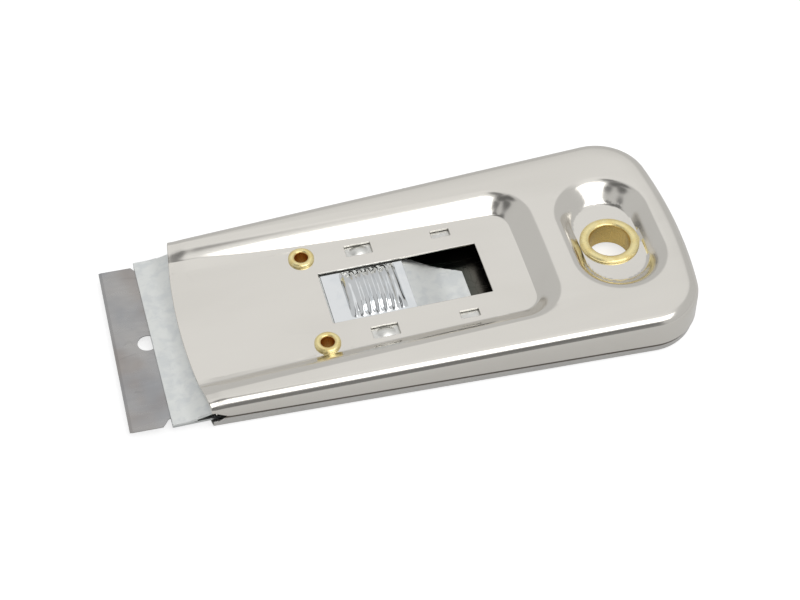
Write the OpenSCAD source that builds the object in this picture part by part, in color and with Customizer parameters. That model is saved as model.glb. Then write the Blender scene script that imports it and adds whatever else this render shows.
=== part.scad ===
// Ceramic hob scraper: two pressed steel shells held together by three brass eyelets,
// with a blade carriage that slides between them under a ribbed thumb grip.
// Lengths along the tool are measured from the blade's edge when the blade is out.

/* [Shell outline] */
// Distance from the blade's edge to the middle of the shell's front edge
front_x = 12.7; // [11:0.1:15]
// Length of the shell from its front edge to its rear end
shell_l = 98.3; // [94:0.1:104]
// Width over the skirts at the front edge
front_w = 42.9; // [42.1:0.1:46]
// Width that the straight sides would reach at the rear end
rear_w = 49.6; // [48:0.1:54]
// Radius of the rear corners seen from above
corner_r = 10.5; // [8:0.5:13]
// Radius of the shallow arc along the rear end
rear_r = 100; // [80:5:200]
// Radius of the bowed front edge
front_r = 119; // [100:1:180]
// Thickness of the sheet steel of both shells
sheet = 0.4; // [0.3:0.05:0.45]

/* [Top shell] */
// Height of the sunken panel's upper face over the slide plane's zero
panel_z = 4.8; // [4.7:0.1:5.5]
// Height of the raised rim just behind the front edge
rim_front = 6.5; // [5.8:0.1:7.5]
// Height of the raised rim at the rear end
rim_rear = 8.25; // [7.5:0.1:9.5]
// Radius of the rolled edge between rim and skirt
roll_r = 2; // [1.5:0.1:2.5]
// Half width of the panel near the front
panel_half_front = 13.6; // [13:0.1:14.5]
// Half width of the panel at its rear end
panel_half_rear = 12.4; // [12.3:0.1:13.5]
// Rear end of the panel
panel_end = 80; // [76:0.5:82]
// Radius of the panel's rear corners
panel_r = 3.6; // [2:0.2:5]
// Run of the slope between panel and rim
slope_run = 4.7; // [3.5:0.1:4.9]
// Height of the skirt's lower edge over the ground near the front
seam_front = 3.3; // [3:0.1:3.6]
// Height of the skirt's lower edge over the ground at the rear
seam_rear = 2.7; // [2.4:0.1:3.2]

/* [Bottom shell] */
// Lean of the slide plane over the ground, in degrees
lean = 0.75; // [0.3:0.05:0.8]
// Height of the slide plane's zero over the ground below the blade's edge
lift = 0.07; // [0.05:0.01:0.5]
// Height of the raised bed that the carriage runs on
bed_z = 1.05; // [0.9:0.05:1.1]
// Radius of the lower edge
base_r = 1; // [0.6:0.1:1.2]
// Distance from the outline to the inner edge of the foot rim
foot_w = 4.6; // [3.5:0.1:5]
// Run of the slope between foot rim and bed
bed_run = 2.4; // [1.5:0.1:3]

/* [Windows] */
// Front end of the thumb window
window_x = 40.9; // [40.6:0.1:41]
// Length of the thumb window
window_l = 31.2; // [31:0.1:33]
// Width of the thumb window
window_w = 12.75; // [12.4:0.05:13.5]
// Length of each front detent window
front_detent_l = 5.15; // [4.5:0.05:5.4]
// Width of each front detent window
front_detent_w = 2.8; // [2.6:0.05:3]
// Length of each rear detent window
rear_detent_l = 3.7; // [3.4:0.05:4.2]
// Width of each rear detent window
rear_detent_w = 1.85; // [1.6:0.05:2.2]
// Distance of the front detent windows from the blade's edge
detent_x = 49.95; // [49.5:0.05:50.5]
// Distance of the detent windows from the centre line
detent_y = 10.6; // [10.4:0.05:10.8]

/* [Dimple and eyelets] */
// Distance of the hanging eyelet from the blade's edge
hang_x = 97.5; // [96:0.1:98.5]
// Bore radius of the hanging eyelet
hang_r = 3.95; // [3:0.05:4.2]
// Radius of the hanging eyelet's rolled flange
hang_flange_r = 5.8; // [5.2:0.1:5.85]
// Distance of the front eyelets from the blade's edge
eyelet_x = 38.7; // [38.5:0.1:38.8]
// Distance of the front eyelets from the centre line
eyelet_y = 10.92; // [10.8:0.02:11]
// Bore radius of the front eyelets
eyelet_r = 1.25; // [1:0.05:1.35]
// Radius of the front eyelets' rolled flanges
eyelet_flange_r = 2.5; // [2.2:0.05:2.6]
// Radius of the round ends of the dimple's floor
dimple_floor_r = 5.9; // [5.9:0.1:6.2]
// Radius of the round ends of the dimple's mouth
dimple_mouth_r = 9.3; // [8.5:0.1:9.6]

/* [Carriage] */
// Travel between blade out and blade in
travel = 16.4; // [15:0.1:16.5]
// Width of the blade
blade_w = 39.8; // [38:0.1:40]
// Depth of the blade from edge to back
blade_l = 19; // [18:0.1:19.2]
// Thickness of the blade
blade_t = 0.2; // [0.15:0.05:0.25]
// Skew at which the blade sits in the clamp, in degrees
blade_skew = 1.4; // [0:0.1:1.5]
// Distance of the clamp's front edge from the blade's edge
clamp_x = 7.35; // [7:0.05:8]
// Width of the clamp's lip
clamp_w = 40.9; // [40:0.1:40.9]
// Thickness of the two carriage plates
plate_t = 0.5; // [0.4:0.05:0.5]
// Half width of the carriage's neck between the front eyelets
neck_half = 8.9; // [8:0.1:9]
// Height of the thumb grip's crown over its flanges
grip_h = 2.2; // [1.5:0.1:2.6]
// Number of ribs across the thumb grip
rib_count = 7; // [5:1:8]
// Depth of the ribs
rib_h = 0.24; // [0.1:0.02:0.3]

/* [Hidden] */
steel = [0.83, 0.82, 0.8];
zinc = [0.8, 0.81, 0.8];
bright = [0.86, 0.88, 0.89];
gold = [0.85, 0.74, 0.36];
blade_grey = [0.6, 0.59, 0.58];
mid_x = 55.24;
base_back = 0.3;
lip_h = 0.4;
lip_drop = 0.3;
lip_start = 13;
lip_run = 3;
step_run = 3.4;
notch_run = 3.4;
wall_gap = sheet + 0.03;
wall_over = 1.1;
low_wall_z = 1.35;
side_steps = 13;
corner_steps = 6;
rear_steps = 4;
half_steps = side_steps + corner_steps + rear_steps;
stations = 2 * half_steps + 1;
slope_steps = 5;
arc_steps = 10;
rear_x = front_x + shell_l;
side_slope = (rear_w - front_w) / 2 / shell_l;
panel_slope = (panel_half_rear - panel_half_front) / (panel_end - front_x);
side_start = front_w / 2 - side_slope * front_x;
outline = [side_start, side_slope, corner_r, rear_r, rear_x, 0];
base_outline = [side_start, side_slope, corner_r, rear_r, rear_x, base_back];
panel_edge = [panel_half_front - panel_slope * front_x, panel_slope, panel_r, 400, panel_end, 0];
dimple_floor_dy = 4.1;
dimple_mouth_dy = 5.5;
dimple_steps = 16;
bore_gap = 0.05;
eyelet_wall = 0.35;
hang_wall = 0.45;
flange_h = 0.7;
curl_h = 0.65;
sliver = 0.02;
carrier_z = bed_z + 0.1;
blade_z = carrier_z + plate_t;
lip_z = blade_z + blade_t + sliver;
top_z = panel_z - sheet - 0.4;
wing_end = 20.4;
carrier_half = 20.2;
wing_half = 20.3;
lip_end = 12;
root_end = 43;
root_half = 12.9;
taper_x = 54.3;
tail_x = 68.5;
tail_half = 2.3;
spring_t = 0.22;
spring_half_w = 1.9;
spring_start = 40.8;
spring_end = 73;
bump_half_l = 1.9;
bump_half_w = 1.3;
bump_h = 0.5;
grip_start = 41.3;
grip_end = 57.3;
dome_start = 44.8;
dome_end = 55.7;
grip_half = 6;
crown_half = 1.4;
grip_t = 0.3;
grip_rows = 64;
grip_columns = 14;
rivet_x = 24;
rivet_y = 5.5;
rivet_r = 0.9;
shoulder_r = 1.5;
hole_r = 1.85;
hole_x = 6.45;
hole_y = 0.45;
notch_x = 6.2;
notch_l = 1.2;
notch_w = 1.6;
bevel_l = 0.6;

// Soft step from 0 to 1
function smooth(v) = let (c = min(1, max(0, v))) c * c * (3 - 2 * c);

// Height of the ground, seen from the leaning slide plane
function ground(x) = -(lift + x * sin(lean)) / cos(lean);

// Bowed front edge, set back by a distance, at a distance y from the centre line
function edge_x(y, back = 0) =
    let (r = front_r - back)
    front_x + front_r - sqrt(r * r - y * y);

// Height of the front lip, which is low in the middle and rises towards the sides
function lip(y) =
    let (low = panel_z + lip_h)
    low + (rim_front - lip_drop - low) * smooth((abs(y) - lip_start) / lip_run);

// Height of the rim, which starts at the lip and steps up behind it
function rim_line(x) = rim_front + (rim_rear - rim_front) * (x - front_x - step_run) / (shell_l - step_run);
function rim(p) =
    let (low = lip(p[1]))
    low + (rim_line(p[0]) - low) * smooth((p[0] - edge_x(p[1])) / step_run);

// Lower edge of the top shell's skirt, cut away at the front corners
function seam(x) =
    let (f = (x - front_x) / shell_l, past = (x - front_x - 2) / notch_run)
    ground(x) + seam_front + (seam_rear - seam_front) * f + 1.3 * (1 - smooth(past));

// Upper edge of the bottom shell's wall, which starts low at the front corners
function wall_top(x) =
    low_wall_z + (seam(x) + wall_over - low_wall_z) * smooth((x - front_x - 3) / 4);

// A U-shaped path is given by its half width at x = 0, the slope of its sides, the radii
// of its corners and of its rear end, the place of that end and the set-back of its front.
function side_scale(u) = sqrt(1 + u[1] * u[1]);
function arc_x(u) = u[4] - u[3];
function corner_x(u) =
    let (k = side_scale(u), a = u[0] - u[2] * k, m = arc_x(u) - a * u[1], q = u[3] - u[2])
    (m + sqrt(m * m - k * k * (arc_x(u) * arc_x(u) + a * a - q * q))) / (k * k);
function corner_y(u) = u[0] - u[2] * side_scale(u) + u[1] * corner_x(u);

// Point i of the path, moved inwards by d
function side_y(u, x, d) = u[0] + u[1] * x - d * side_scale(u);
function start_x(u, d) = edge_x(side_y(u, edge_x(side_y(u, front_x, d), u[5]), d), u[5]);
function side_point(u, f, d) =
    let (x = start_x(u, d) + f * (corner_x(u) - (u[2] - d) * sin(atan(u[1])) - start_x(u, d)))
    [x, side_y(u, x, d)];
function corner_point(u, f, d) =
    let (start = 90 + atan(u[1]), end = atan2(corner_y(u), corner_x(u) - arc_x(u)))
    let (a = start + (end - start) * f)
    [corner_x(u) + (u[2] - d) * cos(a), corner_y(u) + (u[2] - d) * sin(a)];
function rear_point(u, f, d) =
    let (a = atan2(corner_y(u), corner_x(u) - arc_x(u)) * (1 - f))
    [arc_x(u) + (u[3] - d) * cos(a), (u[3] - d) * sin(a)];
function half_point(u, i, d) =
    i <= side_steps ? side_point(u, pow(i / side_steps, 1.6), d)
    : i <= side_steps + corner_steps ? corner_point(u, (i - side_steps) / corner_steps, d)
    : rear_point(u, (i - side_steps - corner_steps) / rear_steps, d);
function path_point(u, i, d) =
    i <= half_steps ? half_point(u, i, d)
    : let (p = half_point(u, 2 * half_steps - i, d)) [p[0], -p[1]];

// Height of the rolled edge, which flattens where the skirt is cut away
function roll_h(p) = min(roll_r, rim(p) - seam(p[0]) - 0.1);

// Rings of the top shell from the skirt's lower edge to the panel, at depth t in the sheet.
// Each is [path, offset, share of rim, share of panel, share of seam, height added,
// share of the rolled edge's height taken off].
function top_rings(t) = concat(
    [[outline, t, 0, 0, 1, 0, 0]],
    [for (a = [0:30:90])
        [outline, roll_r - (roll_r - t) * cos(a), 1, 0, 0, -t * sin(a), 1 - sin(a)]],
    [for (i = [slope_steps:-1:0])
        let (s = smooth(i / slope_steps))
        [panel_edge, -slope_run * i / slope_steps, s, 1 - s, 0, -t, 0]]
);
function top_point(r, i) =
    let (p = path_point(r[0], i, r[1]))
    [p[0], p[1],
        r[2] * rim(p) + r[3] * panel_z + r[4] * seam(p[0]) + r[5] - r[6] * roll_h(p)];

// Rings of the bottom shell from the wall's upper edge to the bed, at depth t in the sheet.
// Each is [offset, share of wall top, share of ground, share of bed, height added].
function base_rings(t) = concat(
    [[wall_gap + t, 1, 0, 0, 0]],
    [for (a = [0:30:90])
        [wall_gap + base_r - (base_r - t) * cos(a), 0, 1, 0, base_r - (base_r - t) * sin(a)]],
    [for (i = [0:slope_steps - 1])
        let (f = i / (slope_steps - 1), s = smooth(f))
        [foot_w + bed_run * f, 0, 1 - s, s, t]]
);
function base_point(r, i) =
    let (p = path_point(base_outline, i, r[0]))
    [p[0], p[1], r[1] * wall_top(p[0]) + r[2] * ground(p[0]) + r[3] * (bed_z - sheet) + r[4]];

// Points of the front edge between the ends of the innermost ring, from right to left
function front_arc(end, back) =
    [for (j = [1:arc_steps - 1])
        let (y = end[1] * (2 * j / arc_steps - 1))
        [edge_x(y, back), y, end[2]]];

// Closed skin between an outer and an inner sheet face made of rings of points,
// followed by the points of the outer and the inner front edge
function spot(count, face, ring, i) = (face * count + ring) * stations + i;
function both(q, flip) =
    let (f = [[q[0], q[1], q[2]], [q[0], q[2], q[3]]])
    flip ? [for (t = f) [t[2], t[1], t[0]]] : f;
function front_ends(count, face) = concat(
    [spot(count, face, count - 1, stations - 1)],
    [for (j = [0:arc_steps - 2]) 2 * count * stations + face * (arc_steps - 1) + j],
    [spot(count, face, count - 1, 0)]
);
function skin_faces(count, flip) =
    let (top = count - 1, last = stations - 1)
    let (
        strips = [for (face = [0, 1], k = [0:top - 1], i = [0:last - 1])
            each both([spot(count, face, k, i), spot(count, face, k, i + 1),
                spot(count, face, k + 1, i + 1), spot(count, face, k + 1, i)], (face == 1) != flip)],
        edge = [for (i = [0:last - 1])
            each both([spot(count, 0, 0, i), spot(count, 1, 0, i),
                spot(count, 1, 0, i + 1), spot(count, 0, 0, i + 1)], flip)],
        sides = [for (i = [0, last], k = [0:top - 1])
            each both([spot(count, 0, k, i), spot(count, 0, k + 1, i),
                spot(count, 1, k + 1, i), spot(count, 1, k, i)], (i == last) != flip)],
        a = front_ends(count, 0),
        b = front_ends(count, 1),
        front = [for (j = [0:arc_steps - 1])
            each both([a[j + 1], a[j], b[j], b[j + 1]], flip)],
        outer = concat([for (i = [0:last]) spot(count, 0, top, i)],
            [for (j = [1:arc_steps - 1]) a[j]]),
        inner = concat([for (j = [arc_steps - 1:-1:1]) b[j]],
            [for (i = [last:-1:0]) spot(count, 1, top, i)])
    )
    concat(strips, edge, sides, front,
        [for (f = [outer, inner]) flip ? [for (i = [len(f) - 1:-1:0]) f[i]] : f]);

// Puts a piece drawn in the slide plane into its place over the ground
module in_place() {
    translate([-mid_x, 0, lift])
        rotate([0, -lean, 0])
            children();
}

// Sheet bent along a path of [x, z] points on its centre line
function bend_normal(path, i) =
    let (a = path[max(0, i - 1)], b = path[min(len(path) - 1, i + 1)], d = b - a)
    [-d[1], d[0]] / norm(d);
module bent_sheet(path, width) {
    upper = [for (i = [0:len(path) - 1]) path[i] + bend_normal(path, i) * plate_t / 2];
    lower = [for (i = [len(path) - 1:-1:0]) path[i] - bend_normal(path, i) * plate_t / 2];
    translate([0, width / 2, 0])
        rotate([90, 0, 0])
            linear_extrude(height = width)
                polygon(concat(upper, lower));
}

// Round-ended loop round the hanging eyelet
function dimple_loop(r, dy, z) =
    [for (s = [1, -1], i = [0:dimple_steps])
        let (a = 180 * i / dimple_steps + (s == 1 ? 0 : 180))
        [hang_x + r * cos(a), s * dy + r * sin(a), z]];

// Round-ended hollow of the dimple, grown by a margin and sunk by a depth
module dimple_form(margin, sink) {
    mouth_z = rim_line(hang_x + dimple_mouth_r) + 0.2;
    n = 2 * (dimple_steps + 1);
    points = concat(
        dimple_loop(dimple_floor_r + margin, dimple_floor_dy, panel_z - sink),
        dimple_loop(dimple_mouth_r + margin, dimple_mouth_dy, mouth_z - sink)
    );
    polyhedron(points, concat(
        [[for (i = [0:n - 1]) i], [for (i = [2 * n - 1:-1:n]) i]],
        [for (i = [0:n - 1]) each both([i, n + i, n + (i + 1) % n, (i + 1) % n], false)]
    ));
}

// Space below the middle of the sheet in the rear part of the rim
module below_rim() {
    slope = atan((rim_rear - rim_front) / (shell_l - step_run));
    translate([hang_x, 0, rim_line(hang_x) - sheet / 2])
        rotate([0, -slope, 0])
            translate([-15, -25, -20])
                cube([30, 50, 20]);
}

// Windows and eyelet holes of the top shell's panel
module panel_cuts() {
    translate([window_x, -window_w / 2, 0])
        cube([window_l, window_w, 12]);
    for (s = [-1, 1]) {
        translate([detent_x - front_detent_l / 2, s * detent_y - front_detent_w / 2, 0])
            cube([front_detent_l, front_detent_w, 12]);
        translate([detent_x + travel - rear_detent_l / 2, s * detent_y - rear_detent_w / 2, 0])
            cube([rear_detent_l, rear_detent_w, 12]);
        translate([eyelet_x, s * eyelet_y, 0])
            cylinder(r = eyelet_r + eyelet_wall + bore_gap, h = 12, $fn = 48);
    }
    translate([hang_x, 0, 0])
        cylinder(r = hang_r + hang_wall + bore_gap, h = 12, $fn = 64);
}

module top_shell() {
    rings = top_rings(0);
    inner_rings = top_rings(sheet);
    last = len(rings) - 1;
    points = concat(
        [for (r = rings, i = [0:stations - 1]) top_point(r, i)],
        [for (r = inner_rings, i = [0:stations - 1]) top_point(r, i)],
        front_arc(top_point(rings[last], 0), 0),
        front_arc(top_point(inner_rings[last], 0), 0)
    );
    color(steel)
        in_place()
            difference() {
                union() {
                    polyhedron(points, skin_faces(len(rings), false));
                    intersection() {
                        dimple_form(sheet, sheet);
                        below_rim();
                    }
                }
                dimple_form(0, 0);
                panel_cuts();
            }
}

module bottom_shell() {
    rings = base_rings(0);
    inner_rings = base_rings(sheet);
    last = len(rings) - 1;
    points = concat(
        [for (r = rings, i = [0:stations - 1]) base_point(r, i)],
        [for (r = inner_rings, i = [0:stations - 1]) base_point(r, i)],
        front_arc(base_point(rings[last], 0), base_back),
        front_arc(base_point(inner_rings[last], 0), base_back)
    );
    color(steel)
        in_place()
            difference() {
                polyhedron(points, skin_faces(len(rings), true));
                for (s = [-1, 1])
                    translate([eyelet_x, s * eyelet_y, -3])
                        cylinder(r = eyelet_r + eyelet_wall + bore_gap, h = 6, $fn = 48);
                translate([hang_x, 0, -3])
                    cylinder(r = hang_r + hang_wall + bore_gap, h = 6, $fn = 64);
            }
}

// Brass tube with a rolled flange on the panel and a curled end under the bed
module eyelet(bore_r, wall, flange_r, seat_z) {
    curl_z = bed_z - sheet;
    lip = 0.3;
    arc = [for (a = [0:22.5:90]) [cos(a), sin(a)]];
    rotate_extrude($fn = 64)
        polygon(concat(
            [[bore_r, curl_z - curl_h + lip], [bore_r, seat_z + flange_h - lip]],
            [for (p = arc) [bore_r + lip - lip * p[0], seat_z + flange_h - lip + lip * p[1]]],
            [for (i = [len(arc) - 1:-1:0])
                [flange_r - flange_h * (1 - arc[i][0]), seat_z + flange_h * arc[i][1]]],
            [[bore_r + wall, seat_z], [bore_r + wall, curl_z]],
            [for (p = arc)
                [flange_r * 0.92 - curl_h * (1 - p[0]), curl_z - curl_h * p[1]]],
            [for (i = [len(arc) - 1:-1:0])
                [bore_r + lip - lip * arc[i][0], curl_z - curl_h + lip - lip * arc[i][1]]]
        ));
}

module hanging_eyelet() {
    color(gold)
        in_place()
            translate([hang_x, 0, 0])
                eyelet(hang_r, hang_wall, hang_flange_r, panel_z);
}

module front_eyelet(side) {
    color(gold)
        in_place()
            translate([eyelet_x, side * eyelet_y, 0])
                eyelet(eyelet_r, eyelet_wall, eyelet_flange_r, panel_z);
}
module left_front_eyelet() {
    front_eyelet(-1);
}
module right_front_eyelet() {
    front_eyelet(1);
}

// Outline of the tail that both carriage plates share
function tail_outline() = [
    [wing_end - 1, -neck_half], [tail_x, -neck_half], [tail_x, tail_half],
    [taper_x, neck_half], [wing_end - 1, neck_half]
];

// Centre line of the clamp plate: flat lip, ramp, flat top and a ramp down to the tail
function clamp_path() =
    let (low = lip_z + plate_t / 2, high = top_z - plate_t / 2, tail = blade_z + plate_t / 2)
    concat(
        [[clamp_x, low], [clamp_x + 3, low]],
        [for (i = [1:7]) [clamp_x + 3 + i, low + (high - low) * smooth((i + 1) / 8.6)]],
        [[clamp_x + 11.5, high], [taper_x + 1, high]],
        [for (i = [1:5]) [taper_x + 2 + 1.8 * i, high + (tail - high) * smooth(i / 5)]],
        [[tail_x, tail]]
    );

module clamp_plate() {
    color(zinc)
        in_place()
            difference() {
                union() {
                    intersection() {
                        bent_sheet(clamp_path(), clamp_w);
                        translate([0, 0, -1])
                            linear_extrude(height = 8)
                                union() {
                                    translate([clamp_x - 1, -clamp_w / 2])
                                        square([lip_end - clamp_x + 1, clamp_w]);
                                    translate([lip_end - 0.1, -wing_half])
                                        square([wing_end - lip_end + 0.1, 2 * wing_half]);
                                    polygon(tail_outline());
                                }
                    }
                    translate([window_x - 0.3, -root_half, top_z - plate_t])
                        cube([root_end - window_x + 0.3, 2 * root_half, plate_t]);
                }
                for (s = [-1, 1])
                    translate([rivet_x, s * rivet_y, 0])
                        cylinder(r = rivet_r, h = 6, $fn = 32);
            }
}

module carrier_plate() {
    color(zinc)
        in_place()
            difference() {
                union() {
                    translate([clamp_x, -carrier_half, carrier_z])
                        cube([wing_end - clamp_x, 2 * carrier_half, plate_t]);
                    translate([0, 0, carrier_z])
                        linear_extrude(height = plate_t)
                            polygon(tail_outline());
                    for (s = [-1, 1])
                        translate([blade_l + 0.95, s * carrier_half * 0.6, carrier_z])
                            cylinder(r = 0.35, h = plate_t + blade_t, $fn = 24);
                }
                for (s = [-1, 1])
                    translate([rivet_x, s * rivet_y, 0])
                        cylinder(r = rivet_r, h = 6, $fn = 32);
            }
}

module carrier_rivets() {
    color(zinc)
        in_place()
            for (s = [-1, 1])
                translate([rivet_x, s * rivet_y, 0]) {
                    translate([0, 0, carrier_z])
                        cylinder(r = rivet_r - sliver, h = top_z - carrier_z, $fn = 32);
                    translate([0, 0, blade_z + sliver])
                        cylinder(r = shoulder_r, h = top_z - plate_t - blade_z - 2 * sliver, $fn = 32);
                }
}

// Height of the pillow-shaped grip over its flanges, with its ribs
function grip_height(x, y) =
    let (
        u = (2 * x - dome_start - dome_end) / (dome_end - dome_start),
        arch = u * u >= 1 ? 0 : pow(1 - u * u, 0.8),
        fall = (abs(y) - crown_half) / (grip_half - 0.15 - crown_half),
        side = 1 - max(0, min(1, fall)),
        pitch = (dome_end - dome_start) / rib_count,
        wave = cos(360 * (x - dome_start) / pitch)
    )
    arch * (grip_h * (1 - pow(1 - side, 1.6)) - rib_h * (1 + wave) * min(1, 4 * side));
module thumb_grip() {
    rows = [for (i = [0:grip_rows]) grip_start + (grip_end - grip_start) * i / grip_rows];
    columns = [for (j = [0:grip_columns]) -grip_half + 2 * grip_half * j / grip_columns];
    width = grip_columns + 1;
    layer = width * (grip_rows + 1);
    points = concat(
        [for (x = rows, y = columns) [x, y, top_z + grip_t + grip_height(x, y)]],
        [for (x = rows, y = columns) [x, y, top_z + grip_height(x, y)]]
    );
    quads = concat(
        [for (i = [0:grip_rows - 1], j = [0:grip_columns - 1])
            let (a = i * width + j)
            [a, a + 1, a + width + 1, a + width]],
        [for (i = [0:grip_rows - 1], j = [0:grip_columns - 1])
            let (a = layer + i * width + j)
            [a, a + width, a + width + 1, a + 1]],
        [for (i = [0:grip_rows - 1])
            let (a = i * width)
            [a, a + width, layer + a + width, layer + a]],
        [for (i = [0:grip_rows - 1])
            let (a = i * width + grip_columns)
            [a, layer + a, layer + a + width, a + width]],
        [for (j = [0:grip_columns - 1]) [j, layer + j, layer + j + 1, j + 1]],
        [for (j = [0:grip_columns - 1])
            let (a = grip_rows * width + j)
            [a, a + 1, layer + a + 1, layer + a]]
    );
    color(bright)
        in_place()
            polyhedron(points, [for (q = quads) each both(q, false)]);
}

// Leaf spring welded to the clamp plate, with the bump that drops into the detent windows
module detent_spring(side) {
    ball_r = (bump_half_l * bump_half_l + bump_h * bump_h) / (2 * bump_h);
    color(bright)
        in_place() {
            translate([spring_start, side * detent_y - spring_half_w, top_z])
                cube([spring_end - spring_start, 2 * spring_half_w, spring_t]);
            intersection() {
                translate([detent_x, side * detent_y, top_z + spring_t + bump_h - ball_r])
                    sphere(r = ball_r, $fn = 64);
                translate([detent_x - bump_half_l, side * detent_y - bump_half_w, top_z])
                    cube([2 * bump_half_l, 2 * bump_half_w, 2]);
            }
        }
}
module left_detent_spring() {
    detent_spring(-1);
}
module right_detent_spring() {
    detent_spring(1);
}

// Single-edged blade with a fine bevel, a hole and notched rear corners
module blade() {
    half = blade_w / 2;
    side = notch_x + notch_l;
    color(blade_grey)
        in_place()
            rotate([0, 0, -blade_skew])
                difference() {
                    translate([0, 0, blade_z])
                        linear_extrude(height = blade_t)
                            polygon([
                                [0, -half], [notch_x, -half], [side, -half + notch_w],
                                [blade_l, -half + notch_w], [blade_l, half - notch_w],
                                [side, half - notch_w], [notch_x, half], [0, half]
                            ]);
                    translate([hole_x, hole_y, 0])
                        cylinder(r = hole_r, h = 6, $fn = 48);
                    translate([0, 0, blade_z + blade_t / 2])
                        rotate([0, -atan(blade_t / 2 / bevel_l), 0])
                            translate([-5, -half - 1, 0])
                                cube([5 + bevel_l, blade_w + 2, 2]);
                }
}

top_shell();
bottom_shell();
hanging_eyelet();
left_front_eyelet();
right_front_eyelet();
clamp_plate();
carrier_plate();
carrier_rivets();
thumb_grip();
left_detent_spring();
right_detent_spring();
blade();
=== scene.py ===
import math

import bmesh
import bpy
import numpy as np
from mathutils import Matrix, Vector
from mathutils.geometry import delaunay_2d_cdt


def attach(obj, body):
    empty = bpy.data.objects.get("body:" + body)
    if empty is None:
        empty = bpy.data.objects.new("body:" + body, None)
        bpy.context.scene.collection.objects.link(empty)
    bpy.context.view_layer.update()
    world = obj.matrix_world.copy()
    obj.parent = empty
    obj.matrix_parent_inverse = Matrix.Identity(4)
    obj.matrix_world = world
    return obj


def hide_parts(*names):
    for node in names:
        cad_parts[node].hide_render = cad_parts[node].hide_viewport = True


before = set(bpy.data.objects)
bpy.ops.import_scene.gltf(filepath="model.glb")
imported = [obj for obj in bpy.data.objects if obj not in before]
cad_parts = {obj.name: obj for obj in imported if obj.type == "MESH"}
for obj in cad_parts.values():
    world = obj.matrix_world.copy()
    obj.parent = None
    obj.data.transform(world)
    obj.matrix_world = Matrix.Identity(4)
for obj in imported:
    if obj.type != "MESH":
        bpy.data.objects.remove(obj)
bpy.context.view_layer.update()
print("frame loaded")

# The slide plane leans over the ground; lengths below are millimetres in that plane
place = {"lean": math.radians(0.75), "lift": 0.07, "midX": 55.24}


def toRow(points):
    p = np.asarray(points, float).reshape(-1, 3)
    c, s = math.cos(place["lean"]), math.sin(place["lean"])
    x = p[:, 0] * c - p[:, 2] * s - place["midX"]
    z = p[:, 0] * s + p[:, 2] * c + place["lift"]
    return np.column_stack([x, p[:, 1], z]) / 1000


def turned(v):
    c, s = math.cos(place["lean"]), math.sin(place["lean"])
    return Vector((v[0] * c - v[2] * s, v[1], v[0] * s + v[2] * c))


# Camera at the photograph's angle
view = {"azimuth": -14.86, "elevation": 49.02, "distance": 413.85, "focal": 2152.6, "target": (55.5, 0, 0),
        "sensor": 36, "pixels": 800}
az, el = math.radians(view["azimuth"]), math.radians(view["elevation"])
back = Vector((math.sin(az) * math.cos(el), -math.cos(az) * math.cos(el), math.sin(el)))
right = Vector((math.cos(az), math.sin(az), 0))
up = back.cross(right)
cameraData = bpy.data.cameras.new("photoCamera")
cameraData.sensor_width = view["sensor"]
cameraData.lens = view["focal"] * view["sensor"] / view["pixels"]
cameraData.clip_start = 0.01
camera = bpy.data.objects.new("photoCamera", cameraData)
bpy.context.scene.collection.objects.link(camera)
eye = toRow([np.array(view["target"]) + np.array(back) * view["distance"]])[0]
rotation = Matrix([turned(right), turned(up), turned(back)]).transposed()
camera.matrix_world = Matrix.Translation(Vector(eye)) @ rotation.to_4x4()
bpy.context.scene.camera = camera
bpy.context.scene.view_settings.view_transform = "Standard"
print("camera set")


def smooth(v):
    c = np.clip(v, 0, 1)
    return c * c * (3 - 2 * c)


def addPiece(name, points, faces, sharpAngle=38):
    mesh = bpy.data.meshes.new(name)
    mesh.from_pydata([tuple(p) for p in toRow(points)], [], faces)
    piece = bpy.data.objects.new(name, mesh)
    bpy.context.scene.collection.objects.link(piece)
    tidyMesh(piece, sharpAngle)
    return piece


def tidyMesh(piece, sharpAngle=38):
    work = bmesh.new()
    work.from_mesh(piece.data)
    bmesh.ops.remove_doubles(work, verts=work.verts, dist=1e-7)
    bmesh.ops.recalc_face_normals(work, faces=work.faces)
    work.to_mesh(piece.data)
    work.free()
    piece.data.shade_smooth()
    piece.data.set_sharp_from_angle(angle=math.radians(sharpAngle))
    keepFlat(piece)


# Faces that lie level in the slide plane keep their own normal
def keepFlat(piece):
    level = turned((0, 0, 1))
    for face in piece.data.polygons:
        if abs(face.normal.dot(level)) > 0.99999:
            face.use_smooth = False


def applied(piece, sharpAngle=38):
    bpy.context.view_layer.update()
    graph = bpy.context.evaluated_depsgraph_get()
    mesh = bpy.data.meshes.new_from_object(piece.evaluated_get(graph))
    piece.modifiers.clear()
    piece.data = mesh
    tidyMesh(piece, sharpAngle)
    return piece


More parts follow.
